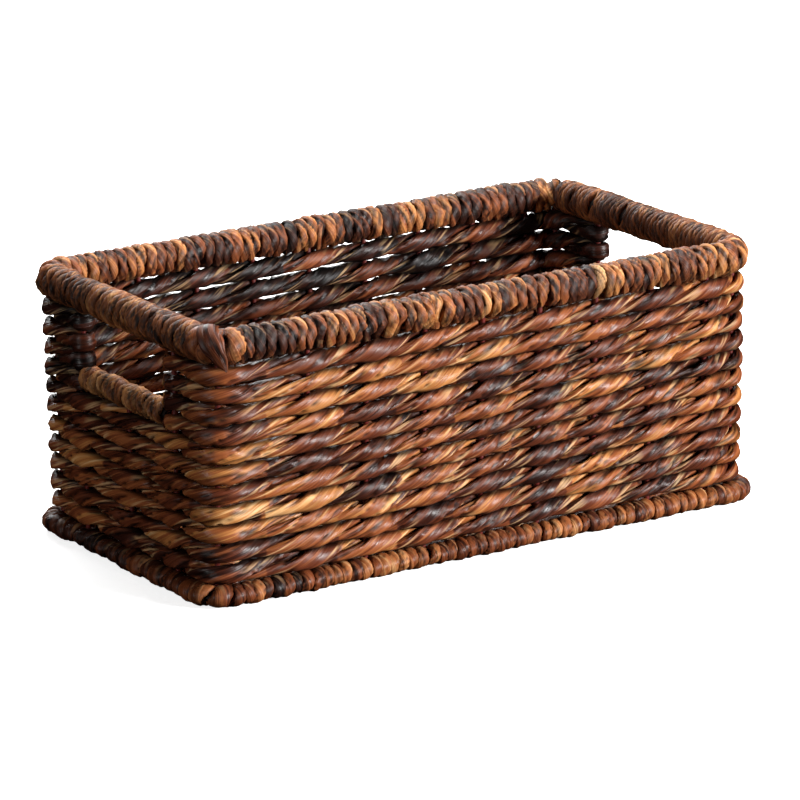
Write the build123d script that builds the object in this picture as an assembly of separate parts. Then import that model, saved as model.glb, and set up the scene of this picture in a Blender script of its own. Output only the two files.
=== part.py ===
"""Open rectangular basket: twisted leaf strands twined on a welded wire frame.

Millimetres. The origin is the middle of the base on the standing surface, +X runs along
the length, -Y is the front, +Z is up.
"""

import math
import os

from build123d import *

# Driving dimensions
HEIGHT = 165.0  # standing surface to the top of the rim
RIM_LENGTH = 390.0  # outside the rim binding
RIM_DEPTH = 220.0
RIM_BINDING_D = 22.0
RIM_CORNER_R = 16.0  # on the hoop's centre line
FOOT_LENGTH = 393.5  # outside the foot binding
FOOT_DEPTH = 211.5
FOOT_BINDING_WIDTH = 16.5
FOOT_BINDING_HEIGHT = 13.0  # pressed flat between the lowest row and the ground
FOOT_BINDING_ROUNDING = 5.5
FOOT_CORNER_R = 13.0

HOOP_WIRE_D = 5.0
STAKE_WIRE_D = 3.2

ROWS = 11  # twined rows in the wall
FIRST_ROW_Z = 19.0
ROW_PITCH = 11.75
ROW_HEIGHT = 11.5
ROW_THICKNESS = 13.5
ROW_ROUNDING = 4.0

FRONT_STAKES = 8
FRONT_STAKE_PITCH = 40.0
FRONT_STAKE_SHIFT = 17.0  # the row of front stakes sits off centre, as hand-set work does
BACK_STAKES = 9
BACK_STAKE_PITCH = 40.0

HANDLE_WIDTH = 94.0  # clear width of the hand opening in each end
HANDLE_FIRST_ROW = 8  # rows from this one up stop at the hand openings
SILL_Z = 104.0  # centre of the bar under the hand opening
SILL_BINDING_D = 16.0
SILL_WIRE_D = 4.0

BASE_WIRES = 8
BASE_WIRE_PITCH = 40.0
BASE_ROWS = 16
BASE_ROW_PITCH = 11.0
BASE_ROW_HEIGHT = 12.4
BASE_ROW_GAP = 0.1
BASE_ROW_LENGTH = 353.0

TAIL_LENGTH = 13.0  # loose end of the binding at the front left corner
TAIL_WIDTH = 10.0
TAIL_THICKNESS = 0.8
TAIL_X = -178.0
TAIL_Y = -108.85  # just clear of the round binding behind it
TAIL_DROP = 4.0  # from the middle of the rim down to the tail's root

# Worked out from them
RIM_Z = HEIGHT - RIM_BINDING_D / 2
RIM_HALF_X = (RIM_LENGTH - RIM_BINDING_D) / 2
RIM_HALF_Y = (RIM_DEPTH - RIM_BINDING_D) / 2
FOOT_Z = FOOT_BINDING_HEIGHT / 2
FOOT_HALF_X = (FOOT_LENGTH - FOOT_BINDING_WIDTH) / 2
FOOT_HALF_Y = (FOOT_DEPTH - FOOT_BINDING_WIDTH) / 2
# The stakes are welded to the inner side of the foot hoop.
WELD_OFFSET = (HOOP_WIRE_D + STAKE_WIRE_D) / 2
POST_Y = HANDLE_WIDTH / 2 + ROW_HEIGHT / 2  # the strands turn round the posts

SEAM_DIRECTION = Vector(0.7, 0.61, 0.4)


def wall_at(z):
    """Half length, half depth and corner radius of the wall's centre line at height z."""
    up = (z - FOOT_Z) / (RIM_Z - FOOT_Z)
    half_x = FOOT_HALF_X - WELD_OFFSET + up * (RIM_HALF_X - FOOT_HALF_X + WELD_OFFSET)
    half_y = FOOT_HALF_Y - WELD_OFFSET + up * (RIM_HALF_Y - FOOT_HALF_Y + WELD_OFFSET)
    return half_x, half_y, FOOT_CORNER_R + up * (RIM_CORNER_R - FOOT_CORNER_R)


def along(path, section, x_dir=None):
    """The section swept along the path, starting square to it, its own X along x_dir."""
    start = Plane(origin=path @ 0, x_dir=x_dir, z_dir=path % 0)
    return sweep(start * section, path=path)


def level(path, section):
    """The same along a level path, with the section's own X kept horizontal."""
    return along(path, section, (path % 0).cross(Vector(0, 0, 1)))


def loop(half_x, half_y, corner_r, z):
    """Closed rectangle with round corners, as a wire."""
    outline = RectangleRounded(2 * half_x, 2 * half_y, corner_r)
    return (Plane.XY.offset(z) * outline).face().outer_wire()


def wire_between(start, end, diameter):
    """Round wire from one point to another, its seam turned off the main directions."""
    return along(Line(start, end), Circle(diameter / 2), SEAM_DIRECTION)


def write(node, *solids):
    """Label one node and save its solids as one STEP file."""
    part = solids[0] if len(solids) == 1 else Compound(children=list(solids))
    part.label = node
    export_step(part, f"parts/{node}.step")
    print(node, len(part.solids()), "solids", round(part.volume), "mm3")


# Frame wires ----------------------------------------------------------------------------


def stake(place, top=RIM_Z):
    """Upright wire whose foot and head are where place(half_x, half_y, r) puts them."""
    ends = []
    for z in (FOOT_Z - STAKE_WIRE_D, top):
        x, y = place(*wall_at(z))
        ends.append((x, y, z))
    return wire_between(*ends, STAKE_WIRE_D)


def front_stake(x):
    return stake(lambda half_x, half_y, r: (x, -half_y))


def back_stake(x):
    return stake(lambda half_x, half_y, r: (x, half_y))


def end_stake(side, y, top=RIM_Z):
    return stake(lambda half_x, half_y, r: (side * half_x, y), top)


def corner_stake(side_x, side_y):
    reach = 1 - math.sqrt(0.5)
    return stake(
        lambda half_x, half_y, r: (side_x * (half_x - reach * r), side_y * (half_y - reach * r))
    )


def spread(count, pitch, shift=0.0):
    """Evenly spaced places about the shift."""
    return [shift + pitch * (i - (count - 1) / 2) for i in range(count)]


rim_hoop = along(loop(RIM_HALF_X, RIM_HALF_Y, RIM_CORNER_R, RIM_Z), Circle(HOOP_WIRE_D / 2))
foot_hoop = along(loop(FOOT_HALF_X, FOOT_HALF_Y, FOOT_CORNER_R, FOOT_Z), Circle(HOOP_WIRE_D / 2))


def sill_wire(side):
    """Short wire under the hand opening, from post to post."""
    x = side * wall_at(SILL_Z)[0]
    return wire_between((x, -POST_Y, SILL_Z), (x, POST_Y, SILL_Z), SILL_WIRE_D)


posts = {side: [end_stake(side, y) - rim_hoop for y in (-POST_Y, POST_Y)] for side in (-1, 1)}
sills = {side: sill_wire(side) - posts[side] for side in (-1, 1)}
middles = {side: end_stake(side, 0.0, SILL_Z) - sills[side] for side in (-1, 1)}
fronts = [front_stake(x) - rim_hoop
          for x in spread(FRONT_STAKES, FRONT_STAKE_PITCH, FRONT_STAKE_SHIFT)]
backs = [back_stake(x) - rim_hoop for x in spread(BACK_STAKES, BACK_STAKE_PITCH)]
corners = [corner_stake(sx, sy) - rim_hoop for sx in (-1, 1) for sy in (-1, 1)]
base_wires = [
    wire_between((x, -FOOT_HALF_Y, FOOT_Z), (x, FOOT_HALF_Y, FOOT_Z), STAKE_WIRE_D) - foot_hoop
    for x in spread(BASE_WIRES, BASE_WIRE_PITCH)
]
uprights = fronts + backs + corners + posts[-1] + posts[1] + [middles[-1], middles[1]]


# Twined rows ----------------------------------------------------------------------------


def row_section():
    """The two strands of a row pressed together round the stakes."""
    return RectangleRounded(ROW_THICKNESS, ROW_HEIGHT, ROW_ROUNDING)


def whole_row(z):
    """A row that runs right round the basket."""
    return level(loop(*wall_at(z), z), row_section())


def open_row(z, side_y):
    """A row that turns back at the posts of the hand openings, on one side of the basket."""
    half_x, half_y, r = wall_at(z)
    stop = side_y * HANDLE_WIDTH / 2
    y = side_y * half_y
    path = FilletPolyline((-half_x, stop, z), (-half_x, y, z), (half_x, y, z), (half_x, stop, z),
                          radius=r)
    return level(path, row_section())


def base_row(y):
    """A row of the floor, twined along the length over the base wires."""
    section = RectangleRounded(BASE_ROW_PITCH - 2 * BASE_ROW_GAP, BASE_ROW_HEIGHT, ROW_ROUNDING)
    half = BASE_ROW_LENGTH / 2
    return level(Line((-half, y, FOOT_Z), (half, y, FOOT_Z)), section)


# Bindings -------------------------------------------------------------------------------


def sleeve_between(sleeve, start, end):
    """Leaf wrapped along a straight stretch of a hoop, as a plain sleeve."""
    return level(Line(start, end), sleeve)


def sleeve_at_corner(sleeve, half_x, half_y, r, z, side_x, side_y):
    """The same sleeve round one corner of the hoop."""
    middle = (side_x * (half_x - r), side_y * (half_y - r))
    first = math.degrees(math.atan2(side_y, side_x)) - 45
    path = Plane.XY.offset(z) * (Pos(*middle) * CenterArc((0, 0), r, first, 90))
    return level(path, sleeve)


def hoop_bindings(sleeve, half_x, half_y, r, z):
    """Four straight sleeves and four corner sleeves, which meet face to face."""
    run_x, run_y = half_x - r, half_y - r
    pieces = {
        "front": sleeve_between(sleeve, (-run_x, -half_y, z), (run_x, -half_y, z)),
        "back": sleeve_between(sleeve, (-run_x, half_y, z), (run_x, half_y, z)),
        "left": sleeve_between(sleeve, (-half_x, -run_y, z), (-half_x, run_y, z)),
        "right": sleeve_between(sleeve, (half_x, -run_y, z), (half_x, run_y, z)),
    }
    for side_y, depth_name in ((-1, "front"), (1, "back")):
        for side_x, length_name in ((-1, "left"), (1, "right")):
            pieces[f"{depth_name}_{length_name}"] = sleeve_at_corner(
                sleeve, half_x, half_y, r, z, side_x, side_y
            )
    return pieces


def binding_tail():
    """Flat pointed end of leaf that hangs from the rim at the front left corner."""
    top = RIM_Z - TAIL_DROP
    outline = Polyline(
        (TAIL_X - TAIL_WIDTH / 2, top),
        (TAIL_X + TAIL_WIDTH / 2, top),
        (TAIL_X + TAIL_WIDTH / 3, top - TAIL_LENGTH),
        close=True,
    )
    hung_on = Plane.XZ.offset(-TAIL_Y)
    return extrude(make_face(hung_on * outline), TAIL_THICKNESS, dir=(0, -1, 0))


# Write the nodes ------------------------------------------------------------------------

os.makedirs("parts", exist_ok=True)
side_names = {-1: "left", 1: "right"}

write("rim_hoop_wire", rim_hoop)
write("foot_hoop_wire", foot_hoop)
write("front_stakes", *fronts)
write("back_stakes", *backs)
write("corner_stakes", *corners)
write("base_wires", *base_wires)
for side, name in side_names.items():
    write(f"{name}_handle_posts", *posts[side])
    write(f"{name}_middle_stake", middles[side])
    write(f"{name}_sill_wire", sills[side])

for number in range(1, ROWS + 1):
    z = FIRST_ROW_Z + ROW_PITCH * (number - 1)
    if number < HANDLE_FIRST_ROW:
        write(f"weave_row_{number:02d}", whole_row(z) - uprights)
        continue
    for side_y, name in ((-1, "front"), (1, "back")):
        row = open_row(z, side_y) - uprights - list(sills.values())
        write(f"weave_row_{number:02d}_{name}", row)
write("base_weave", *[base_row(y) - base_wires for y in spread(BASE_ROWS, BASE_ROW_PITCH)])

rim_section = Circle(RIM_BINDING_D / 2)
rim = hoop_bindings(rim_section, RIM_HALF_X, RIM_HALF_Y, RIM_CORNER_R, RIM_Z)
for name, sleeve in rim.items():
    kind = {"left": "left_grip_binding", "right": "right_grip_binding"}.get(name)
    write(kind or f"rim_binding_{name}", sleeve - rim_hoop - uprights)

foot_section = RectangleRounded(FOOT_BINDING_WIDTH, FOOT_BINDING_HEIGHT, FOOT_BINDING_ROUNDING)
foot = hoop_bindings(foot_section, FOOT_HALF_X, FOOT_HALF_Y, FOOT_CORNER_R, FOOT_Z)
for name, sleeve in foot.items():
    write(f"foot_binding_{name}", sleeve - foot_hoop - uprights - base_wires)

for side, name in side_names.items():
    x = side * wall_at(SILL_Z)[0]
    half = HANDLE_WIDTH / 2
    sleeve = wire_between((x, -half, SILL_Z), (x, half, SILL_Z), SILL_BINDING_D)
    write(f"{name}_sill_binding", sleeve - sills[side] - uprights)
write("binding_tail", binding_tail())
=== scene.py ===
# %% [markdown]
# # A basket of twined leaf strand on a wire frame
#
# The real basket starts as a welded cage of painted wire. Pairs of twisted leaf strands are then
# twined round the upright wires, row on row, and a thinner cord is wrapped round the rim, the
# foot and the sills of the two hand openings. This lesson builds it in the same order of ideas:
# one Geometry Nodes tree lays a strand along a path, and every row and wrap is that tree with
# other sizes.

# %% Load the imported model, which gives every size and place
import math
import random

import bpy
import numpy as np
from mathutils import Matrix, Vector


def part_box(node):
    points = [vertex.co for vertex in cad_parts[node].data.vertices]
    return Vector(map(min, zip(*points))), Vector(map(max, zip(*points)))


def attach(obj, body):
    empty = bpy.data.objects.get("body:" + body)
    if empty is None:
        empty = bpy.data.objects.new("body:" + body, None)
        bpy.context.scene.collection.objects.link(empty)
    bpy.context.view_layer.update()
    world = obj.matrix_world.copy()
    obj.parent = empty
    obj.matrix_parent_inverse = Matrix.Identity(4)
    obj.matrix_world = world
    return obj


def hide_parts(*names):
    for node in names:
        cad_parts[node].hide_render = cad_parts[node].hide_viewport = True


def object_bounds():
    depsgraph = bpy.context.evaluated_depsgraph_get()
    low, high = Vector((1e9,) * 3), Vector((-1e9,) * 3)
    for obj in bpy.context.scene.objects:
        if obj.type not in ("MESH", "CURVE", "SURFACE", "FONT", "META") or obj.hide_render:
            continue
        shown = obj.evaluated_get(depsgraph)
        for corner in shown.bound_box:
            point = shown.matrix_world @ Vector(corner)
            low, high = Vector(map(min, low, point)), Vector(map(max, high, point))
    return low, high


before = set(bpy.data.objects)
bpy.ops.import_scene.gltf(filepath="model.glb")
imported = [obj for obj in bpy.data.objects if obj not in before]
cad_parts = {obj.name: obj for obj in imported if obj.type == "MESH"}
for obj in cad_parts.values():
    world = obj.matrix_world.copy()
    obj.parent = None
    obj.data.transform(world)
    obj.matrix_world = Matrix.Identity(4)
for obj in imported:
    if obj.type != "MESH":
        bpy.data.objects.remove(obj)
cad_box = [list(corner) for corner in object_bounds()]
MM = 0.001
print("object box", cad_box)

# %% [markdown]
# ## Small helpers
#
# Colours are written as the hex values a painter would pick on screen. Shaders work in linear
# light, so one function turns each value over. A second one adds a node, sets its properties and
# fills its inputs, from a number or from another node's socket. The rest are short names for
# the nodes that come up most.

# %% Helpers for colours and nodes


def linear(hex_colour):
    """sRGB hex, such as "7a4426", to the linear RGBA that shaders use."""
    values = [int(hex_colour[i:i + 2], 16) / 255 for i in (0, 2, 4)]
    return [v / 12.92 if v <= 0.04045 else ((v + 0.055) / 1.055) ** 2.4 for v in values] + [1.0]


def add(tree, kind, inputs=None, **settings):
    """Add one node; inputs are numbers or sockets by name or place. Returns its outputs."""
    node = tree.nodes.new(kind)
    for name, value in settings.items():
        setattr(node, name, value)
    for place, value in (inputs or {}).items():
        if isinstance(value, bpy.types.NodeSocket):
            tree.links.new(value, node.inputs[place])
        else:
            node.inputs[place].default_value = value
    return node.outputs


def maths(tree, operation, *values):
    """One Math node on up to three values."""
    return add(tree, "ShaderNodeMath", dict(enumerate(values)), operation=operation)[0]


def scaled(tree, vector, amount):
    return add(tree, "ShaderNodeVectorMath", {0: vector, "Scale": amount}, operation="SCALE")[0]


def remap(tree, value, old, new=(0.0, 1.0), easing="LINEAR"):
    """Map one range (low, high) to another, clamped at both ends."""
    return add(tree, "ShaderNodeMapRange",
               {"Value": value, "From Min": old[0], "From Max": old[1], "To Min": new[0],
                "To Max": new[1]}, interpolation_type=easing)[0]


def keep(tree, geometry, name, value, kind):
    """Store a value on every point, as a named attribute."""
    return add(tree, "GeometryNodeStoreNamedAttribute",
               {"Geometry": geometry, "Name": name, "Value": value},
               data_type=kind, domain="POINT")[0]


# %% [markdown]
# ## One tree that lays a strand
#
# Twining and wrapping are the same motion at different rates: the strand swings from the outer
# side of its path to the inner side while it moves along. A twined strand makes half a turn from
# one upright to the next, and a wrap makes a whole turn every few millimetres. So the tree reads
# a path whose points carry the angle of that swing, moves each point out from the path by the
# angle, and sweeps a flattened circle along the result. Leaf is folded as it is twisted, so the
# tree then sinks spiral creases into the tube. A noise texture read in coordinates that turn
# with the strand gives creases that spiral as the real folds do.
# It also notes on the mesh where on the leaf a point lies, how deep in a crease it is and how
# near to the next row, for the material to read.

# %% The strand tree

STRAND_INPUTS = {
    "Across": "NodeSocketFloat",  # how far the strand swings out from the path
    "Up": "NodeSocketFloat",  # how far it swings along the path's side direction
    "Width": "NodeSocketFloat",
    "Thickness": "NodeSocketFloat",
    "Step": "NodeSocketFloat",  # distance between the tube's rings
    "Sides": "NodeSocketInt",
    "Twist length": "NodeSocketFloat",  # length over which the folds go once round
    "Fold depth": "NodeSocketFloat",
    "Fold count": "NodeSocketFloat",
    "Crease depth": "NodeSocketFloat",
    "Ply depth": "NodeSocketFloat",  # the groove between the two plies of a cord
    "Row height": "NodeSocketFloat",  # from one row to the next; the leaf is darkened where they meet, as painted shade
    "Bay angle": "NodeSocketFloat",  # swing after which the leaf's colour changes
    "Bay start": "NodeSocketFloat",
    "Seed": "NodeSocketInt",
    "Material": "NodeSocketMaterial",
}
FOLD_STRETCH = 0.3  # folds run along the leaf, so they vary slowly that way
OVERLAP_COUNT = 0.75  # low, so that only a few edges of leaf show round the strand
OVERLAP_STRETCH = 0.22


def leaf_noise(tree, leaf, count, stretch, detail):
    """Noise over the strand, with count features round it, drawn out along it by stretch."""
    scale = add(tree, "ShaderNodeCombineXYZ", {"X": count, "Y": count, "Z": stretch})[0]
    at = add(tree, "ShaderNodeVectorMath", {0: leaf, 1: scale}, operation="MULTIPLY")[0]
    return add(tree, "ShaderNodeTexNoise", {"Vector": at, "Scale": 1.0, "Detail": detail,
                                            "Roughness": 0.55})[0]


def strand_tree():
    tree = bpy.data.node_groups.new("lay a strand", "GeometryNodeTree")
    tree.interface.new_socket("Path", in_out="INPUT", socket_type="NodeSocketGeometry")
    for name, kind in STRAND_INPUTS.items():
        tree.interface.new_socket(name, in_out="INPUT", socket_type=kind)
    tree.interface.new_socket("Strand", in_out="OUTPUT", socket_type="NodeSocketGeometry")
    given = add(tree, "NodeGroupInput")
    read = {
        name: add(tree, "GeometryNodeInputNamedAttribute", {"Name": name}, data_type=kind)[0]
        for name, kind in (("phase", "FLOAT"), ("swell", "FLOAT"), ("middle", "FLOAT_VECTOR"),
                           ("outward", "FLOAT_VECTOR"), ("side", "FLOAT_VECTOR"),
                           ("run", "FLOAT"), ("around", "FLOAT"))
    }

    # The path, evened out, then swung out to where the strand lies.
    curve = add(tree, "GeometryNodeMeshToCurve", {0: given["Path"]})[0]
    curve = add(tree, "GeometryNodeResampleCurve", {"Curve": curve, "Length": given["Step"]},
                mode="LENGTH")[0]
    cosine = maths(tree, "COSINE", read["phase"])
    sine = maths(tree, "SINE", read["phase"])
    reach = maths(tree, "MULTIPLY", cosine, given["Across"])
    rise = maths(tree, "MULTIPLY", sine, given["Up"])
    swing = scaled(tree, read["outward"], reach)
    lift = scaled(tree, read["side"], rise)
    offset = add(tree, "ShaderNodeVectorMath", {0: swing, 1: lift}, operation="ADD")[0]
    curve = add(tree, "GeometryNodeSetPosition", {"Geometry": curve, "Offset": offset})[0]
    face_out = scaled(tree, read["outward"], cosine)
    face_side = scaled(tree, read["side"], sine)
    facing = add(tree, "ShaderNodeVectorMath", {0: face_out, 1: face_side}, operation="ADD")[0]
    curve = add(tree, "GeometryNodeSetCurveNormal", {"Curve": curve, "Normal": facing},
                mode="FREE")[0]
    place = add(tree, "GeometryNodeInputPosition")[0]
    curve = keep(tree, curve, "middle", place, "FLOAT_VECTOR")
    along = add(tree, "GeometryNodeSplineParameter")
    curve = keep(tree, curve, "run", along["Length"], "FLOAT")

    # The section: a circle that knows the angle round itself, pressed to width and thickness.
    ring = add(tree, "GeometryNodeCurvePrimitiveCircle",
               {"Resolution": given["Sides"], "Radius": 0.5})[0]
    full_turn = maths(tree, "MULTIPLY", along["Factor"], math.tau)
    ring = keep(tree, ring, "around", full_turn, "FLOAT")
    flattened = add(tree, "ShaderNodeCombineXYZ",
                    {"X": given["Thickness"], "Y": given["Width"], "Z": 1.0})[0]
    ring = add(tree, "GeometryNodeTransform", {"Geometry": ring, "Scale": flattened})[0]
    tube = add(tree, "GeometryNodeCurveToMesh",
               {"Curve": curve, "Profile Curve": ring, "Scale": read["swell"],
                "Fill Caps": True})[0]

    # Coordinates that turn with the strand: the angle round it, wound back along its length.
    winding = maths(tree, "DIVIDE", math.tau, given["Twist length"])
    wound = maths(tree, "MULTIPLY_ADD", read["run"], winding, read["around"])
    turn_x = maths(tree, "COSINE", wound)
    turn_y = maths(tree, "SINE", wound)
    centimetres = maths(tree, "MULTIPLY", read["run"], 100.0)
    lay = add(tree, "ShaderNodeCombineXYZ", {"X": turn_x, "Y": turn_y, "Z": centimetres})[0]

    # Folds: soft ones from one noise, and sharp creases where a second passes its middle.
    apart = maths(tree, "MULTIPLY", given["Seed"], 7.31)
    shifted = add(tree, "ShaderNodeCombineXYZ", {"X": 0.0, "Y": 0.0, "Z": apart})[0]
    leaf = add(tree, "ShaderNodeVectorMath", {0: lay, 1: shifted}, operation="ADD")[0]
    folds = leaf_noise(tree, leaf, given["Fold count"], FOLD_STRETCH, 2.0)
    soft = remap(tree, folds, (0.3, 0.7), (-1.0, 0.7))
    soft = maths(tree, "MULTIPLY", soft, given["Fold depth"])
    overlap = leaf_noise(tree, leaf, OVERLAP_COUNT, OVERLAP_STRETCH, 0.0)
    near = maths(tree, "SUBTRACT", overlap, 0.5)
    near = maths(tree, "ABSOLUTE", near)
    crease = remap(tree, near, (0.0, 0.07), (1.0, 0.0), "SMOOTHSTEP")
    crease = maths(tree, "MULTIPLY", crease, given["Crease depth"])
    fold = maths(tree, "SUBTRACT", soft, crease)

    # Plies: two rounds side by side that wind about each other, with a groove between them.
    ply_wave = maths(tree, "ABSOLUTE", turn_x)
    groove = maths(tree, "SUBTRACT", 1.0, ply_wave)
    groove = maths(tree, "POWER", groove, 1.6)
    groove = maths(tree, "MULTIPLY", groove, given["Ply depth"])
    relief = maths(tree, "SUBTRACT", fold, groove)
    size = maths(tree, "ADD", relief, 1.0)
    arm = add(tree, "ShaderNodeVectorMath", {0: place, 1: read["middle"]},
              operation="SUBTRACT")[0]
    arm = scaled(tree, arm, size)
    skin = add(tree, "ShaderNodeVectorMath", {0: read["middle"], 1: arm}, operation="ADD")[0]

    # What the material reads: the bay's tone, the crossing, and the closeness to the next row.
    bay = maths(tree, "ADD", read["phase"], given["Bay start"])
    bay = maths(tree, "DIVIDE", bay, given["Bay angle"])
    bay = maths(tree, "FLOOR", bay)
    bay = maths(tree, "MULTIPLY_ADD", given["Seed"], 0.613, bay)
    tone = add(tree, "ShaderNodeTexWhiteNoise", {"W": bay}, noise_dimensions="1D")[0]
    cross = maths(tree, "ABSOLUTE", sine)
    above = add(tree, "ShaderNodeVectorMath", {0: arm, 1: read["side"]},
                operation="DOT_PRODUCT")["Value"]
    above = maths(tree, "ADD", above, rise)
    above = maths(tree, "ABSOLUTE", above)
    pressed = maths(tree, "DIVIDE", above, given["Row height"])
    for name, value, kind in (("leaf", leaf, "FLOAT_VECTOR"), ("tone", tone, "FLOAT"),
                              ("relief", relief, "FLOAT"), ("crossing", cross, "FLOAT"),
                              ("pressed", pressed, "FLOAT")):
        tube = keep(tree, tube, name, value, kind)
    tube = add(tree, "GeometryNodeSetPosition", {"Geometry": tube, "Position": skin})[0]
    tube = add(tree, "GeometryNodeSetShadeSmooth", {"Geometry": tube, "Shade Smooth": True})[0]
    for name in ("middle", "run", "around", "outward", "side", "phase", "swell"):
        tube = add(tree, "GeometryNodeRemoveAttribute", {"Geometry": tube, "Name": name})[0]
    tube = add(tree, "GeometryNodeRealizeInstances", {"Geometry": tube})[0]
    tube = add(tree, "GeometryNodeSetMaterial",
               {"Geometry": tube, "Material": given["Material"]})[0]
    add(tree, "NodeGroupOutput", {0: tube})
    return tree


STRAND = strand_tree()
print("strand tree:", len(STRAND.nodes), "nodes")

# %% [markdown]
# ## Running the tree
#
# A path is a plain mesh of points joined by edges. Each point carries the swing angle, the
# directions outward and to the side, how swollen the leaf is there, and how far its tone is
# shifted darker or paler, which on the back's top rows is partly painted shade. The modifier's
# inputs are set by identifier, because names can be shared. The result is copied to a plain
# mesh, and the path is thrown away.

# %% Paths in, plain strand meshes out


class Run:
    """A stretch of path: places, outward and side directions, swing angles, swelling, tone
    shift.
    """

    def __init__(self, places, outward, side, phase, swell=None, tone_shift=None):
        self.places = np.asarray(places, float)
        self.outward = np.broadcast_to(np.asarray(outward, float), self.places.shape)
        self.side = np.broadcast_to(np.asarray(side, float), self.places.shape)
        self.phase = np.asarray(phase, float)
        self.swell = np.ones(len(self.phase)) if swell is None else np.asarray(swell, float)
        self.tone_shift = np.zeros(len(self.phase)) if tone_shift is None else np.asarray(tone_shift, float)


def path_mesh(runs):
    """One mesh of all the runs, each an open chain of edges."""
    counts = [len(run.phase) for run in runs]
    starts = np.cumsum([0] + counts[:-1])
    edges = [(s + i, s + i + 1) for s, n in zip(starts, counts) for i in range(n - 1)]
    mesh = bpy.data.meshes.new("path")
    mesh.from_pydata(np.concatenate([run.places for run in runs]).tolist(), edges, [])
    for name in ("phase", "swell", "tone_shift"):
        values = np.concatenate([getattr(run, name) for run in runs]).astype(np.float32)
        mesh.attributes.new(name, "FLOAT", "POINT").data.foreach_set("value", values)
    for name in ("outward", "side"):
        values = np.concatenate([getattr(run, name) for run in runs]).astype(np.float32)
        mesh.attributes.new(name, "FLOAT_VECTOR", "POINT").data.foreach_set(
            "vector", values.ravel())
    return mesh


def lay_strand(name, runs, sizes, material, seed):
    """The strand laid along the runs, as a new object with a plain mesh."""
    source = bpy.data.objects.new("path", path_mesh(runs))
    bpy.context.scene.collection.objects.link(source)
    modifier = source.modifiers.new("lay a strand", "NODES")
    modifier.node_group = STRAND
    values = dict(sizes, Seed=seed, Material=material)
    for item in STRAND.interface.items_tree:
        if item.in_out == "INPUT" and item.name in values:
            modifier[item.identifier] = values[item.name]
    graph = bpy.context.evaluated_depsgraph_get()
    mesh = bpy.data.meshes.new_from_object(source.evaluated_get(graph), depsgraph=graph)
    mesh.name = name
    path = source.data
    bpy.data.objects.remove(source)
    bpy.data.meshes.remove(path)
    piece = bpy.data.objects.new(name, mesh)
    bpy.context.scene.collection.objects.link(piece)
    return piece


def join(name, pieces):
    """Several plain pieces as one object."""
    for piece in bpy.context.selected_objects:
        piece.select_set(False)
    for piece in pieces:
        piece.select_set(True)
    bpy.context.view_layer.objects.active = pieces[0]
    if len(pieces) > 1:
        bpy.ops.object.join()
    pieces[0].name = name
    return pieces[0]


def settle(piece, slot, *nodes):
    """Ride the frame's one body and stand for the plain nodes; slot is not used."""
    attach(piece, "root")
    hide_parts(*nodes)
    piece.data.calc_loop_triangles()
    print(piece.name, len(piece.data.loop_triangles), "triangles")


def drift(rng, distance, every, amount):
    """A smooth random wander along a distance, with a new random value at each spacing."""
    knots = np.arange(0, distance[-1] + 3 * every, every)
    values = np.array([rng.uniform(-amount, amount) for _ in knots])
    share = np.clip((distance - distance[0]) / every, 0, len(knots) - 1.001)
    low = share.astype(int)
    part = share - low
    part = part * part * (3 - 2 * part)
    return values[low] * (1 - part) + values[low + 1] * part


# %% [markdown]
# ## Finishes
#
# Dried leaf strand ranges from straw through orange brown to a purple black where the outer
# sheath shows. One shader makes them all. A random tone for each bay picks from a ramp of leaf
# colours. The leaf is folded over itself, so its colour steps at the edge of a fold. Streaks and
# fibres follow the twist, creases and the gaps between rows are darkened as painted shade, and
# the torn edge shows pale where a strand dives. The same fibres make the bump, since that is
# what they are.

# %% Leaf and wire materials

LEAF_IOR = 1.45  # waxes and dry plant fibre lie near this
WAX_GLOSS = 0.35  # thin, dusty wax reflects less than a clean surface
STREAKS_AROUND = 1.7
STREAK_STRETCH = 0.24
FIBRES_AROUND = 7.0
FIBRE_STRETCH = 0.4
TORN_EDGE = "e3bd8a"


def darkened(tree, colour, amount):
    return add(tree, "ShaderNodeMix", {0: 1.0, 6: colour, 7: amount}, data_type="RGBA",
               blend_type="MULTIPLY")[2]


def empty_material(name):
    material = bpy.data.materials.new(name)
    material.use_nodes = True
    material.node_tree.nodes.clear()
    return material, material.node_tree


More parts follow.
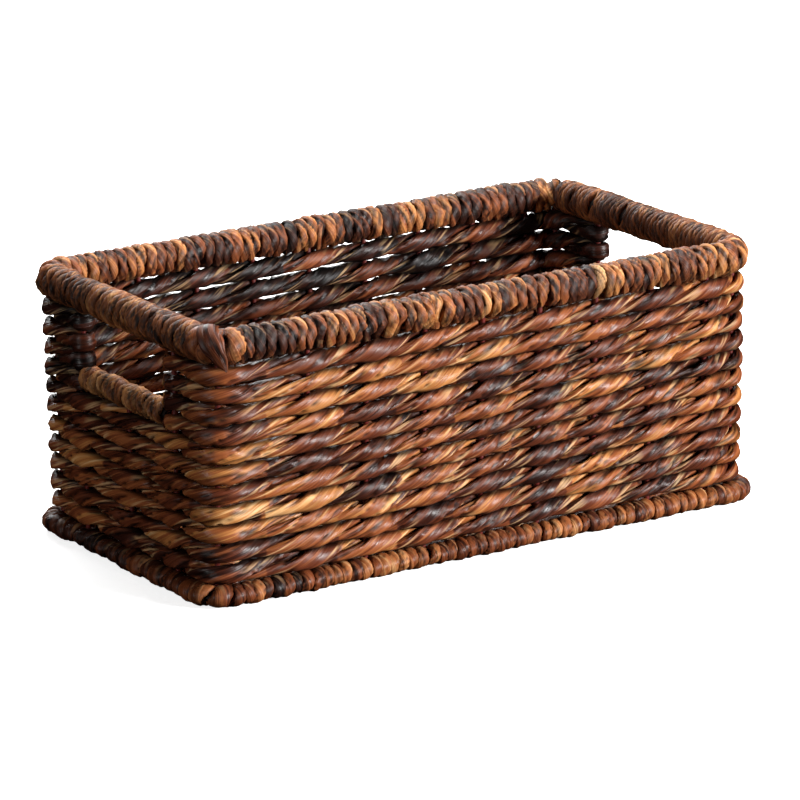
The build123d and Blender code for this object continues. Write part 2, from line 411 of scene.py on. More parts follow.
def leaf_material(name, colours, roughness, spread, pale):
    """Dried, twisted leaf. colours run from dark to pale, spread is how far bays differ, and
    pale is how much of the torn edge shows."""
    material, tree = empty_material(name)
    leaf = add(tree, "ShaderNodeAttribute", attribute_name="leaf")["Vector"]
    tone, relief, crossing, tone_shift, pressed = (
        add(tree, "ShaderNodeAttribute", attribute_name=name)["Fac"]
        for name in ("tone", "relief", "crossing", "tone_shift", "pressed"))

    # The leaf is folded over itself, and each layer has its own colour up to a sharp edge.
    overlap = leaf_noise(tree, leaf, OVERLAP_COUNT, OVERLAP_STRETCH, 0.0)
    layer = remap(tree, overlap, (0.485, 0.515), (-0.08, 0.08))
    streaks = leaf_noise(tree, leaf, STREAKS_AROUND, STREAK_STRETCH, 1.5)
    fibres = leaf_noise(tree, leaf, FIBRES_AROUND, FIBRE_STRETCH, 1.0)
    bay = maths(tree, "SUBTRACT", tone, 0.5)
    bay = maths(tree, "MULTIPLY_ADD", bay, spread, 0.5)
    # The path's tone shift: paler or darker leaf, and on the back's top rows partly painted
    # shade.
    bay = maths(tree, "ADD", bay, tone_shift)
    shade = maths(tree, "ADD", bay, layer)
    centred = maths(tree, "SUBTRACT", streaks, 0.5)
    shade = maths(tree, "MULTIPLY_ADD", centred, 0.7, shade)
    fine = maths(tree, "SUBTRACT", fibres, 0.5)
    shade = maths(tree, "MULTIPLY_ADD", fine, 0.35, shade)
    ramp = tree.nodes.new("ShaderNodeValToRGB")
    ramp.color_ramp.interpolation = "EASE"
    while len(ramp.color_ramp.elements) < len(colours):
        ramp.color_ramp.elements.new(0.5)
    for i, (stop, colour) in enumerate(colours):
        ramp.color_ramp.elements[i].position = stop
        ramp.color_ramp.elements[i].color = linear(colour)
    tree.links.new(shade, ramp.inputs[0])

    # The torn edge of the leaf shows pale where one strand dives under the other.
    edge = remap(tree, crossing, (0.5, 0.9))
    torn = remap(tree, streaks, (0.56, 0.64))
    edge = maths(tree, "MULTIPLY", edge, torn)
    edge = maths(tree, "MULTIPLY", edge, pale)
    colour = add(tree, "ShaderNodeMix", {0: edge, 6: ramp.outputs[0], 7: linear(TORN_EDGE)},
                 data_type="RGBA")[2]
    # Painted shade: the leaf is darkened deep in its creases.
    crease = remap(tree, relief, (-0.34, -0.02), (0.12, 1.0))
    colour = darkened(tree, colour, crease)

    # Painted shade: where one row presses on the next little light gets in, so the leaf is
    # darkened there.
    painted_row_shade = remap(tree, pressed, (0.3, 0.5), (1.0, 0.12), "SMOOTHSTEP")
    colour = darkened(tree, colour, painted_row_shade)

    # Dark sheath is waxier than pale fibre, and the fibres stand up a little.
    rough = remap(tree, streaks, (0.3, 0.7), (roughness - 0.1, roughness + 0.14))
    height = maths(tree, "MULTIPLY_ADD", fibres, 0.7, streaks)
    bump = add(tree, "ShaderNodeBump", {"Height": height, "Strength": 0.8,
                                        "Distance": 0.8 * MM})[0]
    surface = add(tree, "ShaderNodeBsdfPrincipled",
                  {"Base Color": colour, "Roughness": rough, "IOR": LEAF_IOR,
                   "Specular IOR Level": WAX_GLOSS, "Normal": bump})[0]
    add(tree, "ShaderNodeOutputMaterial", {"Surface": surface})
    return material


def wire_material():
    """Steel wire in dark red enamel, brushed on thin: even colour with dull, uneven gloss."""
    material, tree = empty_material("red_enamelled_wire")
    place = add(tree, "ShaderNodeTexCoord")["Object"]
    blotches = add(tree, "ShaderNodeTexNoise", {"Vector": place, "Scale": 180.0,
                                                "Detail": 3.0})[0]
    colour = add(tree, "ShaderNodeMix", {0: blotches, 6: linear("6e1c12"), 7: linear("3a0d09")},
                 data_type="RGBA")[2]
    rough = remap(tree, blotches, (0.0, 1.0), (0.3, 0.6))
    bump = add(tree, "ShaderNodeBump", {"Height": blotches, "Strength": 0.2,
                                        "Distance": 0.1 * MM})[0]
    surface = add(tree, "ShaderNodeBsdfPrincipled",
                  {"Base Color": colour, "Roughness": rough, "IOR": 1.5, "Normal": bump})[0]
    add(tree, "ShaderNodeOutputMaterial", {"Surface": surface})
    return material


# Thick strand of the walls: mostly red brown, with dark sheath and straw bays.
wall_leaf = leaf_material(
    "twisted_leaf_strand",
    [(0.0, "120705"), (0.2, "33160e"), (0.42, "64301b"), (0.62, "92512c"), (0.82, "b97a42"),
     (1.0, "dca870")],
    0.4, 0.5, 0.5)
# Thinner leaf twisted to a cord for the rim, brown to straw.
rim_leaf = leaf_material(
    "wrapped_leaf_cord",
    [(0.0, "120806"), (0.25, "3f1e12"), (0.5, "844828"), (0.75, "b87843"), (1.0, "e0b07a")],
    0.46, 0.5, 0.3)
# The same cord on the grips and sills, rubbed dull by hands.
grip_leaf = leaf_material(
    "worn_grip_cord",
    [(0.0, "180b06"), (0.25, "482412"), (0.5, "804824"), (0.75, "ac7342"), (1.0, "d2a472")],
    0.5, 0.3, 0.2)
# Broad, flat leaf on the foot.
foot_leaf = leaf_material(
    "broad_leaf_wrap",
    [(0.0, "120705"), (0.25, "3c1a0e"), (0.5, "743b1e"), (0.75, "a06035"), (1.0, "cc9560")],
    0.44, 0.4, 0.2)
# Leaf under a wrap, seen only between turns: its near-black colour is painted shade.
painted_shade_core_leaf = leaf_material(
    "painted_shade_leaf_core",
    [(0.0, "080403"), (0.5, "140a07"), (1.0, "241410")],
    0.7, 0.2, 0.0)
enamel = wire_material()
print("materials:", len(bpy.data.materials))

# %% [markdown]
# ## The wall's line
#
# Every row follows a rectangle with round corners. One function gives the point and the outward
# direction at any distance along it, counted from the start of the front run and going round by
# the right end, the back and the left end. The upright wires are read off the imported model.

# %% The rounded rectangle and the uprights on it

ROW_THICKNESS = 13.5 * MM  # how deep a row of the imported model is
CORNER_R = 15 * MM


def lengths(half_x, half_y, r):
    """Front run, end run, corner arc and the whole way round."""
    front, end, arc = 2 * (half_x - r), 2 * (half_y - r), math.pi * r / 2
    return front, end, arc, 2 * (front + end) + 4 * arc


def on_rectangle(half_x, half_y, r, distance):
    """Points and outward directions at those distances along the rounded rectangle."""
    front, end, arc, whole = lengths(half_x, half_y, r)
    s = np.mod(np.asarray(distance, float), whole)
    second = s >= whole / 2
    s = np.where(second, s - whole / 2, s)
    turn = np.where(s < front + arc, np.clip((s - front) / r, 0, math.pi / 2),
                    math.pi / 2 + np.clip((s - front - arc - end) / r, 0, math.pi / 2))
    normal = np.stack([np.sin(turn), -np.cos(turn), np.zeros_like(turn)], axis=1)
    x = np.clip(s - front / 2, -front / 2, front / 2)
    y = np.clip(s - front - arc - end / 2, -end / 2, end / 2)
    points = np.stack([x, y, np.zeros_like(x)], axis=1) + r * normal
    flip = np.where(second, -1.0, 1.0)[:, None] * [1, 1, 0] + [0, 0, 1]
    return points * flip, normal * flip


def clusters(node, axis, gap=8 * MM):
    """Middle of each separate solid of a node along one axis, lowest first."""
    values = np.unique(np.round([v.co[axis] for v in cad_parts[node].data.vertices], 5))
    groups = np.split(values, np.where(np.diff(values) > gap)[0] + 1)
    return [(g[0] + g[-1]) / 2 for g in groups]


front_x = clusters("front_stakes", 0)
back_x = clusters("back_stakes", 0)
post_y = clusters("right_handle_posts", 1)
print(len(front_x), "front stakes,", len(back_x), "back stakes, posts at", post_y)


def uprights(half_x, half_y, r):
    """Distances along the rectangle of every upright, in order from the front run."""
    front, end, arc, whole = lengths(half_x, half_y, r)
    found = [x + front / 2 for x in front_x]
    found += [front + arc / 2, front + arc + end + arc / 2]
    found += [front + arc + end / 2 + y for y in (post_y[0], 0.0, post_y[1])]
    found += [whole / 2 + front / 2 - x for x in back_x]
    found += [whole / 2 + front + arc / 2, whole - arc / 2]
    found += [whole / 2 + front + arc + end / 2 - y for y in (post_y[0], 0.0, post_y[1])]
    return sorted(found)


# %% [markdown]
# ## The twined rows
#
# Each row is one strand doubled round an upright, and the two halves cross once in every bay.
# So a row's path goes out along the wall and comes back, with the swing angle growing by half a
# turn from one upright to the next. In rows that stop at a hand opening, the strand turns round
# the post: there the angle rests while the outward direction swings half round. The tree spaces
# its rings by the path's own length, so near a post the path leaves the uprights' line and goes
# round with the strand.

# %% Row paths

SWING = 4.3 * MM  # from the uprights' line to the middle of a strand
CROSS = 2.65 * MM  # half the height between the strands where they cross
ROW_STEP = 1.1 * MM
PATH_STEP = 1.5 * MM
TURN_R = 0.9 * SWING  # the path's radius round a post
TURN_EASE = 12 * MM  # how far from the post the path starts to leave the uprights' line
SPINDLE = 22 * MM  # half the length of a pale strand at the near corner
SPINDLE_SHIFT = 3 * MM  # from the corner's end to the middle of that strand
WALL_STRAND = {
    "Across": SWING, "Up": CROSS, "Width": 11.0 * MM, "Thickness": 6.4 * MM, "Step": ROW_STEP,
    "Sides": 20, "Twist length": 210 * MM, "Fold depth": 0.13, "Fold count": 1.0,
    "Crease depth": 0.3, "Ply depth": 0.0, "Row height": 11.75 * MM, "Bay angle": math.pi,
    "Bay start": math.pi / 2,
}
UP = np.array([0.0, 0.0, 1.0])


def along_row(half_x, half_y, r, z, knots, angles, rng):
    """Path points between knots of distance and angle, with a hand's unevenness."""
    distance = np.arange(knots[0], knots[-1], PATH_STEP)
    distance = np.append(distance, knots[-1])
    places, normal = on_rectangle(half_x, half_y, r, distance)
    places[:, 2] = z + drift(rng, distance - distance[0], 33 * MM, 0.5 * MM)
    swell = 1 + drift(rng, distance - distance[0], 21 * MM, 0.13)
    return distance, places, normal, np.interp(distance, knots, angles), swell


def whole_row(size, z, first, rng, corner_dye):
    """Twice round the wall: the odd number of uprights brings the strand in on the other side.

    corner_dye is how much paler the strand is where it passes the near corner on the outside.
    """
    stakes = uprights(*size)
    whole = lengths(*size)[3]
    order = stakes[first:] + [s + whole for s in stakes[:first]]
    knots = order + [s + whole for s in order] + [order[0] + 2 * whole]
    angles = [math.pi * i for i in range(len(knots))]
    distance, places, normal, phase, swell = along_row(*size, z, knots, angles, rng)
    from_corner = np.mod(distance + whole / 2, whole) - whole / 2
    tone_shift = corner_dye * np.clip(1.5 - np.abs(from_corner - SPINDLE_SHIFT) / SPINDLE, 0, 1)
    tone_shift = np.where(np.cos(phase) > -0.2, tone_shift, 0.0)
    return [Run(places, normal, UP, phase, swell, tone_shift)]


def open_row(size, z, flip, rng, tone_shift):
    """Out from the left post to the right one and back again, for the front or the back."""
    front, end, arc, whole = lengths(*size)
    start = -arc - (post_y[0] + end / 2)
    stop = front + arc + post_y[0] + end / 2
    stakes = [s - whole if s > whole - arc - end / 2 else s for s in uprights(*size)]
    if flip:
        stakes = [s - whole / 2 for s in uprights(*size)]
    knots = sorted(s for s in stakes if start - MM < s < stop + MM)
    last = math.pi * (len(knots) - 1)
    angles = [math.pi * i for i in range(len(knots))]
    shift = whole / 2 if flip else 0.0
    knots = [s + shift for s in knots]
    out = along_row(*size, z, knots, angles, rng)
    back = along_row(*size, z, knots, angles, rng)
    pieces = [ready_to_turn(out, 1.0)[1:]]
    pieces.append(turn_round(out, -1, math.cos(last)))
    _, places, normal, phase, swell = ready_to_turn(back, -1.0)
    pieces.append((places[::-1], -normal[::-1], 2 * last - phase[::-1], swell[::-1]))
    pieces.append(turn_round(out, 0, -1.0, 2 * last))
    places, normal, phase, swell = (np.concatenate(part) for part in zip(*pieces))
    return [Run(places, normal, UP, phase, swell, np.full(len(phase), tone_shift))]


def ready_to_turn(row, way):
    """Near both posts, move the path out to where the strand lies, and swing it out less."""
    distance, places, normal, phase, swell = row
    moved, eased = places.copy(), normal.copy()
    for end in (0, -1):
        near = np.clip(1 - np.abs(distance - distance[end]) / TURN_EASE, 0, 1)
        near = near * near * (3 - 2 * near)
        moved += normal * (way * math.cos(phase[end]) * TURN_R * near)[:, None]
        less = np.where(near > 0, TURN_R * near / (SWING * np.abs(np.cos(phase)) + 1e-9), 0.0)
        eased *= (1 - less)[:, None]
    return distance, moved, eased, phase, swell


def turn_round(row, end, way, phase=None):
    """Half a turn about the post at one end of a row."""
    _, places, normal, angle, swell = row
    n = normal[end]
    forward = np.cross(UP, n)
    turn = np.linspace(0, math.pi, 13)[1:-1, None]
    if end == 0:
        n = -n
    swept = n * np.cos(turn) + way * forward * np.sin(turn)
    angles = np.full(len(turn), angle[end] if phase is None else phase)
    around = places[end] + swept * math.cos(angles[0]) * TURN_R
    return around, swept * (1 - TURN_R / SWING), angles, np.repeat(swell[end], len(turn))


# %% Weave the walls

# The back's top rows are darker: partly darker strand, and partly painted shade for the inside
# of the basket. Pale strand shows at one corner.
DARK_AND_SHADED_BACK_ROWS = {"weave_row_08_back": -0.1, "weave_row_09_back": -0.22,
             "weave_row_10_back": -0.3, "weave_row_11_back": -0.3}
PALE_CORNERS = {"weave_row_04": 0.4, "weave_row_07": 0.4}
# Fuller strand closes the back's upper rows, and they sit a little higher under the rim.
BACK_STRAND = dict(WALL_STRAND, **{"Width": 11.4 * MM, "Up": 2.8 * MM})
TOP_LIFT = {"weave_row_11_front": 0.6 * MM, "weave_row_11_back": 1.2 * MM,
            "weave_row_10_back": 0.5 * MM}
rows = sorted(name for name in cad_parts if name.startswith("weave_row"))
for number, node in enumerate(rows):
    rng = random.Random(100 + number)
    low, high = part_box(node)
    half_x = (high.x - low.x - ROW_THICKNESS) / 2
    z = (low.z + high.z) / 2 + TOP_LIFT.get(node, 0.0)
    reach = max(abs(low.y), abs(high.y)) - ROW_THICKNESS / 2
    size = (half_x, reach, CORNER_R)
    if node.endswith(("front", "back")):
        runs = open_row(size, z, node.endswith("back"), rng, DARK_AND_SHADED_BACK_ROWS.get(node, 0.0))
    else:
        runs = whole_row(size, z, 13 + number % 5, rng, PALE_CORNERS.get(node, 0.0))
    strand = BACK_STRAND if node.endswith("back") else WALL_STRAND
    piece = lay_strand(node.replace("weave_row", "twined_row"), runs, strand, wall_leaf,
                       seed=number)
    settle(piece, "twined_leaf", node)

# %% [markdown]
# ## The floor of the basket
#
# The floor is twined in the same way over wires that run from front to back, so it is the same
# strand with the uprights' directions swapped: outward is now up, and the side is the depth.

# %% Twine the floor

FLOOR_PITCH = 11 * MM
FLOOR_TUCK = 1 * MM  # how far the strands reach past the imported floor's ends
FLOOR_STRAND = dict(WALL_STRAND, **{
    "Across": 3.4 * MM, "Up": 2.9 * MM, "Width": 11.2 * MM, "Thickness": 5.6 * MM,
    "Step": 1.8 * MM, "Sides": 14, "Row height": FLOOR_PITCH,
})
low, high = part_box("base_weave")
wire_x = clusters("base_wires", 0)
row_count = round((high.y - low.y) / FLOOR_PITCH)
row_y = [low.y + (high.y - low.y) * (i + 0.5) / row_count for i in range(row_count)]
print(row_count, "floor rows over", len(wire_x), "wires")
base_z = (low.z + high.z) / 2
base_runs = []
for number, y in enumerate(row_y):
    rng = random.Random(300 + number)
    edge = high.x + FLOOR_TUCK
    knots = [-edge] + wire_x + [edge]
    angles = [math.pi * (i + number % 2) for i in range(len(knots))]
    for way in (1, -1):
        x = np.linspace(-edge, edge, 240)
        places = np.stack([x, y + drift(rng, x + edge, 45 * MM, 0.4 * MM),
                           np.full_like(x, base_z)], axis=1)
        phase = np.interp(x, knots, angles) + (0 if way > 0 else math.pi)
        swell = 1 + drift(rng, x + edge, 25 * MM, 0.07)
        base_runs.append(Run(places, UP, (0.0, 1.0, 0.0), phase, swell))
floor_weave = lay_strand("twined_floor", base_runs, FLOOR_STRAND, wall_leaf, seed=41)
settle(floor_weave, "twined_leaf", "base_weave")

# %% [markdown]
# ## Wraps
#
# The rim, the grips, the sills and the foot are wire under a wrapped cord. The angle of the
# swing now grows by a whole turn for every width of cord. The cord on the rim is two plies
# twisted together, so its tube gets the groove between plies. Turns differ in width, lean and
# tightness, because a hand laid them. Where an upright leaves the hoop the turns part, and its
# enamel shows between them. A core under the cord keeps light from showing between turns, and
# its near-black colour is painted shade.

# %% Wrap paths

NO_ROWS = 1.0  # a row height far above any wrap, so that nothing on it is darkened
TURN_POINTS = 32  # path points to a turn
CORE_POINTS = 24
PARTING = 6 * MM  # distance from an upright over which the turns close up again
LEAN_PHASE = 0.6  # a leaning turn is furthest along just past its top
CORE = {  # a strand that doesn't swing
    "Across": 0.0, "Up": 0.0, "Step": 3 * MM, "Sides": 14, "Twist length": 50 * MM,
    "Fold depth": 0.03, "Fold count": 2.0, "Crease depth": 0.0, "Ply depth": 0.0,
    "Row height": NO_ROWS, "Bay angle": math.tau, "Bay start": 0.0,
}


def turn_places(length, width, uneven, rng, stakes, part):
    """Distances and counts of turns. At an upright the count ends in part: 0.0 puts the cord
    under the hoop there and 0.5 over it, so that it passes on the side without the upright."""
    stops = [0.0] + [s for s in stakes if 0 < s < length] + [length]
    ends, counts = [0.0], [0.0]
    for low, high in zip(stops, stops[1:]):
        last = high == length
        count = (high - low) / width + counts[-1]
        aim = 0.0 if last else part
        count = max(counts[-1] + 1, round(count - aim) + aim)
        steps = [1.0] * int(count - counts[-1])
        rest = count - counts[-1] - len(steps)
        steps += [rest] if rest > 0.01 else []
        sizes = np.array([step * (1 + rng.uniform(-uneven, uneven)) for step in steps])
        ends += list(low + np.cumsum(sizes) / sizes.sum() * (high - low))
        counts += list(counts[-1] + np.cumsum(steps))
    return np.array(ends), np.array(counts)


def wrap(name, line, length, section, cord, material, seed, slot, nodes, stakes=(), above=1.0,
         dyes=()):
    """Cord wound round a line(distance) -> places, outward, in a section (deep, high).

    The turns part round each upright in stakes, which stands above the line or hangs below.
    dyes lists stretches (from, to, amount) where the leaf is darker or paler.
    """
    rng = random.Random(seed)
    part = 0.0 if above > 0 else 0.5
    ends, counts = turn_places(length, cord["pitch"], cord["uneven"], rng, stakes, part)
    whole = int(round(counts[-1]))
    turns = np.linspace(0, whole, whole * TURN_POINTS + 1)
    distance = np.interp(turns, counts, ends)
    phase = math.tau * turns - math.pi / 2
    shift = np.zeros_like(distance)
    for stake in stakes:
        away = distance - stake
        open_here = (1 + above * np.sin(phase)) / 2
        shift += np.sign(away) * cord["room"] / 2 * np.exp(-np.abs(away) / PARTING) * open_here

    def each_turn(amount, about=0.0):
        values = [about + rng.uniform(-1, 1) * amount for _ in range(whole + 1)]
        return np.interp(turns, np.arange(whole + 1), values)

    shift += each_turn(cord["lean"]) * np.sin(phase + LEAN_PHASE)
    places, outward = line(np.clip(distance + shift, 0, length))
    swell = each_turn(cord["uneven"], 1.0)
    places = places + outward * each_turn(cord["loose"])[:, None]
    deep, high = section
    thickness = cord["thickness"]
    sizes = {
        "Across": (deep - thickness) / 2, "Up": (high - thickness) / 2, "Width": cord["width"],
        "Thickness": thickness, "Step": length / whole / cord["rings"], "Sides": cord["sides"],
        "Twist length": cord["twist"], "Fold depth": cord["fold"], "Fold count": cord["folds"],
        "Crease depth": cord["crease"], "Ply depth": cord["ply"],
        "Row height": NO_ROWS, "Bay angle": cord["bay"], "Bay start": math.pi / 2,
    }
    tone_shift = np.zeros_like(distance)
    for start, stop, amount in dyes:
        tone_shift += np.where((distance > start) & (distance < stop), amount, 0.0)
    turned = lay_strand(name, [Run(places, outward, UP, phase, swell, tone_shift)], sizes, material,
                        seed)
    # A core under the turns, coloured near black as painted shade for the gaps between them.
    middle, out = line(np.linspace(0, length, CORE_POINTS))
    core_size = {"Width": high - 1.5 * thickness, "Thickness": deep - 1.5 * thickness}
    core = lay_strand(name + "_core", [Run(middle, out, UP, np.zeros(CORE_POINTS))],
                      dict(CORE, **core_size), painted_shade_core_leaf, seed)
    settle(join(name, [turned, core]), slot, *nodes)


# %% [markdown]
# ## The cords
#
# A cord is a small table. pitch is the way from turn to turn, width and thickness the pressed
# section, and uneven, loose and lean how far turns differ in size, stand off and tilt. room is
# the gap at an upright. rings to a turn and sides round the section set how fine the mesh is,
# and the rest are the strand tree's own measures of twist, folds, creases and plies.

# %% Cords for each part

# Two-ply cord.
RIM_CORD = {"pitch": 6.8 * MM, "width": 8.3 * MM, "thickness": 6.6 * MM, "uneven": 0.2,
            "loose": 0.8 * MM, "lean": 1.0 * MM, "room": 5 * MM, "rings": 26, "sides": 16,
            "twist": 24 * MM, "fold": 0.17, "folds": 1.3, "crease": 0.25, "ply": 0.34,
            "bay": 1.5 * math.tau}
# The same sort of cord, thinner, on the grips and the sills.
GRIP_CORD = {"pitch": 6.2 * MM, "width": 7.2 * MM, "thickness": 5.8 * MM, "uneven": 0.24,
             "loose": 0.8 * MM, "lean": 0.8 * MM, "room": 3 * MM, "rings": 24, "sides": 14,
             "twist": 20 * MM, "fold": 0.18, "folds": 1.2, "crease": 0.28, "ply": 0.28,
             "bay": 2 * math.tau}
# Flat leaf with hardly any ply.
FOOT_CORD = {"pitch": 6.4 * MM, "width": 7.8 * MM, "thickness": 4.8 * MM, "uneven": 0.25,
             "loose": 0.5 * MM, "lean": 0.8 * MM, "room": 2.5 * MM, "rings": 24, "sides": 16,
             "twist": 40 * MM, "fold": 0.16, "folds": 1.2, "crease": 0.25, "ply": 0.12,
             "bay": math.tau}
# The right grip is wound finer and smoother, and the near corner and the left foot coarser.
SMOOTH_CORD = dict(GRIP_CORD, pitch=4.0 * MM, width=4.8 * MM, thickness=5 * MM, ply=0.12,
                   loose=0.3 * MM, bay=3 * math.tau)
CORNER_CORD = dict(RIM_CORD, pitch=10.5 * MM, width=12 * MM, ply=0.2, twist=34 * MM)
FOOT_LEFT_CORD = dict(FOOT_CORD, pitch=12 * MM, width=13.5 * MM, thickness=5.6 * MM)
FOOT_CORNER_CORD = dict(FOOT_CORD, pitch=9.5 * MM, width=11 * MM, thickness=6 * MM,
                        crease=0.1)

# %% [markdown]
# ## Winding the hoops and the sills
#
# Each hoop is wound in eight stretches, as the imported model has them: four runs and four round
# the corners. The two end runs of the rim are the grips. A hoop's stretches share one line, so
# the joints between them don't show.

# %% Wrap the rim, the grips, the foot and the sills


def node_size(node):
    low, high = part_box(node)
    return high - low


rim_low, rim_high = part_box("rim_hoop_wire")
foot_low, foot_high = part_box("foot_hoop_wire")
HOOP_WIRE = rim_high.z - rim_low.z
RIM_CORNER_R = 16 * MM
FOOT_CORNER_R = 13 * MM
ENDS = ("left", "right")
SILL_ONLY = 10 * MM  # the stake this near an end's middle stops at the sill, below the grip
TO_END = 1.0  # longer than any stretch
rim_section = (node_size("rim_binding_front").y, node_size("rim_binding_front").z)
foot_section = (node_size("foot_binding_front").y, node_size("foot_binding_front").z)
print("rim section", rim_section, "foot section", foot_section)


def hoop(low, high, r):
    """Half length, half depth, corner radius and height of a hoop wire's middle line."""
    half_x = (high.x - low.x - HOOP_WIRE) / 2
    return half_x, (high.y - low.y - HOOP_WIRE) / 2, r, (low.z + high.z) / 2


def stretch(half_x, half_y, r, z, start):
    """A line along the hoop from a starting distance, as wrap() wants it."""
    def line(distance):
        places, outward = on_rectangle(half_x, half_y, r, distance + start)
        places[:, 2] = z
        return places, outward
    return line


def wrap_hoop(size, section, cords, material_of, name_of, seed, above, dyes):
    """Eight wraps round a hoop: four runs and four corners."""
    half_x, half_y, r, z = size
    front, end, arc, whole = lengths(half_x, half_y, r)
    runs = {"front": (0, front), "front_right": (front, arc), "right": (front + arc, end),
            "back_right": (front + arc + end, arc), "back": (whole / 2, front),
            "back_left": (whole / 2 + front, arc), "left": (whole / 2 + front + arc, end),
            "front_left": (whole - arc, arc)}
    stakes = uprights(half_x, half_y, r)
    for number, (side, (start, length)) in enumerate(runs.items()):
        node, slot = name_of(side)
        here = [s - start for s in stakes if start < s < start + length]
        if side in ENDS and above < 0:
            here = [s for s in here if abs(s - length / 2) > SILL_ONLY]
        wrap(node.replace("binding", "wrap"), stretch(half_x, half_y, r, z, start), length,
             section, cords.get(side, cords["else"]), material_of(side), seed + number, slot,
             [node], here, above, dyes.get(side, ()))


wrap_hoop(
    hoop(rim_low, rim_high, RIM_CORNER_R), rim_section,
    {"left": GRIP_CORD, "right": SMOOTH_CORD, "front_left": CORNER_CORD, "else": RIM_CORD},
    lambda side: grip_leaf if side in ENDS else rim_leaf,
    lambda side: (f"{side}_grip_binding", "handle_wrap") if side in ENDS
    else (f"rim_binding_{side}", "rim_wrap"),
    seed=500, above=-1.0,
    dyes={"front": [(0, 30 * MM, -0.3)],
          "back": [(0, 60 * MM, -0.08), (61 * MM, 105 * MM, 0.1), (106 * MM, TO_END, -0.1)],
          "back_left": [(0, TO_END, -0.15)], "front_left": [(0, TO_END, -0.1)],
          "left": [(0, TO_END, -0.04)], "right": [(0, TO_END, -0.06)]})
wrap_hoop(
    hoop(foot_low, foot_high, FOOT_CORNER_R), foot_section,
    {"left": FOOT_LEFT_CORD, "front_left": FOOT_CORNER_CORD, "else": FOOT_CORD},
    lambda side: foot_leaf,
    lambda side: (f"foot_binding_{side}", "foot_wrap"),
    seed=600, above=1.0,
    dyes={"left": [(0, TO_END, -0.15)], "front_left": [(0, TO_END, 0.15)],
          "front": [(0, TO_END, 0.04), (20 * MM, 60 * MM, -0.24)]})

for number, side in enumerate(ENDS):
    low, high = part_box(f"{side}_sill_binding")
    x, z = (low.x + high.x) / 2, (low.z + high.z) / 2
    way = math.copysign(1.0, x)

    def sill(distance, x=x, z=z, way=way, start=low.y if x > 0 else high.y):
        places = np.stack([np.full_like(distance, x), start + way * distance,
                           np.full_like(distance, z)], axis=1)
        return places, np.broadcast_to([way, 0.0, 0.0], places.shape)

    wrap(f"{side}_sill_wrap", sill, high.y - low.y, (high.z - low.z, high.z - low.z),
         GRIP_CORD, grip_leaf, 700 + number, "handle_wrap", [f"{side}_sill_binding"],
         [(high.y - low.y) / 2], -1.0, [(0, TO_END, 0.14)])

# %% [markdown]
# ## The loose end
#
# The binding starts at the front left corner with a broad leaf that is laid over the rim and
# left to hang. It is the same strand pressed almost flat, on a path down the rim's round.

# %% Lay the loose end over the corner

TAIL_POINTS = 40
TAIL_FROM, TAIL_TURN = 112, 118  # degrees: from behind the rim's top down its outer side
TAIL_ON_RIM = 0.72  # the share of it that lies on the rim
TAIL_DROP = 11 * MM
TAIL_START, TAIL_DRIFT = -19 * MM, 11 * MM  # where it lies round the corner
half_x, half_y, corner_r, rim_z = hoop(rim_low, rim_high, RIM_CORNER_R)
share = np.linspace(0, 1, TAIL_POINTS)
theta = np.radians(TAIL_FROM - TAIL_TURN * np.clip(share / TAIL_ON_RIM, 0, 1))
drop = TAIL_DROP * np.clip((share - TAIL_ON_RIM) / (1 - TAIL_ON_RIM), 0, 1)
centre, outward = on_rectangle(half_x, half_y, corner_r, TAIL_START + TAIL_DRIFT * share)
centre[:, 2] = rim_z
radial = outward * np.cos(theta)[:, None] + UP * np.sin(theta)[:, None]
places = centre + radial * (rim_section[0] / 2 + 0.3 * MM) - UP * drop[:, None]
taper = np.interp(share, [0, 0.15, 0.6, 0.85, 1.0], [0.5, 1.0, 1.05, 0.62, 0.08])
tail = lay_strand(
    "loose_leaf_end", [Run(places, radial, UP, np.zeros(TAIL_POINTS), taper)],
    dict(CORE, **{"Width": 13 * MM, "Thickness": 2.4 * MM, "Step": 0.7 * MM, "Sides": 24,
                  "Twist length": 400 * MM, "Fold depth": 0.25, "Fold count": 1.6,
                  "Crease depth": 0.3}),
    foot_leaf, 9)
settle(tail, "rim_wrap", "binding_tail")

# %% [markdown]
# ## The wire frame
#
# The hoops, stakes, posts and floor wires are true wire shapes already, so they stay as they are
# and only get their enamel. It shows beside the wraps and between the strands.

# %% Enamel the wires

wires = [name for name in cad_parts
         if name.endswith(("wire", "wires", "stake", "stakes", "posts"))]
for name in wires:
    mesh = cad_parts[name].data
    mesh.materials.clear()
    mesh.materials.append(enamel)
print("enamelled", len(wires), "wire nodes")

# %% [markdown]
# ## The studio
#
# A pale floor that glows a little, so that shadows on it stay faint, and soft square lights:
# a strong one from the front right, one above, and weaker ones that keep the far sides
# readable. The strong one is low, so the rim keeps most of it out of the inside. The white
# surround shows behind the basket but doesn't light it, which leaves the gaps between the
# strands dark.

# %% Floor and lights


def studio_floor():
    mesh = bpy.data.meshes.new("studio_floor")
    half = 6.0  # metres each way
    mesh.from_pydata([(-half, -half, 0), (half, -half, 0), (half, half, 0), (-half, half, 0)],
                     [], [(0, 1, 2, 3)])
    plane = bpy.data.objects.new("studio_floor", mesh)
    bpy.context.scene.collection.objects.link(plane)
    material = bpy.data.materials.new("pale_floor")
    material.use_nodes = True
    surface = material.node_tree.nodes["Principled BSDF"]
    surface.inputs["Base Color"].default_value = linear("f4f4f3")
    surface.inputs["Roughness"].default_value = 0.9
    surface.inputs["Emission Color"].default_value = (1.0, 1.0, 1.0, 1.0)
    surface.inputs["Emission Strength"].default_value = 0.8
    mesh.materials.append(material)
    plane.visible_diffuse = False
    plane.visible_glossy = False


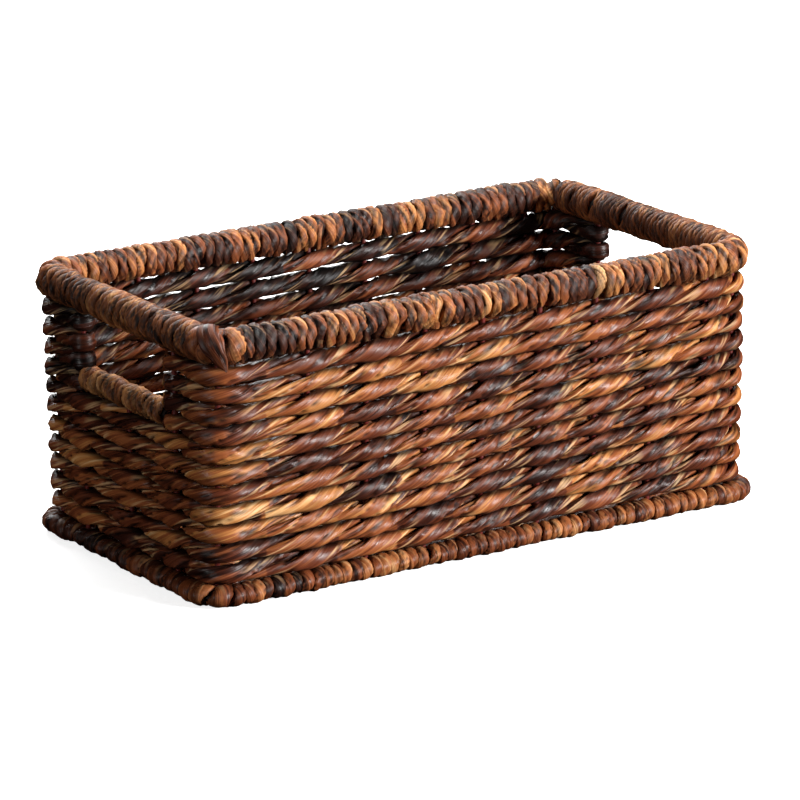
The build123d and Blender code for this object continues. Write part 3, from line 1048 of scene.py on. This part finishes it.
def soft_light(name, azimuth, elevation, power, size, away=2.4):
    """A square area light that faces the basket. Azimuth 0 is in front, 90 is to the right."""
    light = bpy.data.lights.new(name, "AREA")
    light.energy = power
    light.size = size
    lamp = bpy.data.objects.new(name, light)
    bpy.context.scene.collection.objects.link(lamp)
    turn, rise = math.radians(azimuth), math.radians(elevation)
    direction = Vector((math.sin(turn) * math.cos(rise), -math.cos(turn) * math.cos(rise),
                        math.sin(rise)))
    lamp.location = middle + direction * away
    lamp.rotation_euler = direction.to_track_quat("Z", "Y").to_euler()


# Azimuth and elevation in degrees, watts, and size in metres.
LIGHTS = {"key_light": (30, 15, 124.0, 0.6), "top_light": (110, 74, 88.0, 0.7),
          "back_light": (165, 30, 45.0, 1.4), "left_light": (-80, 11, 15.0, 0.6)}
middle = Vector((0.0, 0.0, cad_box[1][2] / 2))
studio_floor()
for name, (azimuth, elevation, power, size) in LIGHTS.items():
    soft_light(name, azimuth, elevation, power, size)

world = bpy.data.worlds.new("studio")
world.use_nodes = True
world.node_tree.nodes["Background"].inputs["Color"].default_value = (1.0, 1.0, 1.0, 1.0)
world.node_tree.nodes["Background"].inputs["Strength"].default_value = 1.0
world.cycles_visibility.diffuse = False
world.cycles_visibility.glossy = False
bpy.context.scene.world = world
bpy.context.scene.view_settings.view_transform = "Standard"
print("studio with", len(LIGHTS), "lights")

# %% A long lens, from the left and a little above

AZIMUTH, ELEVATION, ROLL = math.radians(-32.5), math.radians(15.63), math.radians(-0.80)
DISTANCE = 3.129  # metres
camera_data = bpy.data.cameras.new("camera")
camera_data.lens = 234.8
camera_data.sensor_width = 36.0
camera_data.shift_x = 0.0042
camera_data.shift_y = -0.0229
camera = bpy.data.objects.new("camera", camera_data)
bpy.context.scene.collection.objects.link(camera)
back = np.array([math.sin(AZIMUTH) * math.cos(ELEVATION),
                 -math.cos(AZIMUTH) * math.cos(ELEVATION), math.sin(ELEVATION)])
right = np.array([math.cos(AZIMUTH), math.sin(AZIMUTH), 0.0])
up = np.cross(back, right)
right, up = (math.cos(ROLL) * right + math.sin(ROLL) * up,
             math.cos(ROLL) * up - math.sin(ROLL) * right)
pose = np.eye(4)
pose[:3, 0], pose[:3, 1], pose[:3, 2] = right, up, back
pose[:3, 3] = np.array(middle) + back * DISTANCE
camera.matrix_world = Matrix(pose.tolist())
bpy.context.scene.camera = camera
print("camera at", [round(v, 3) for v in pose[:3, 3]])
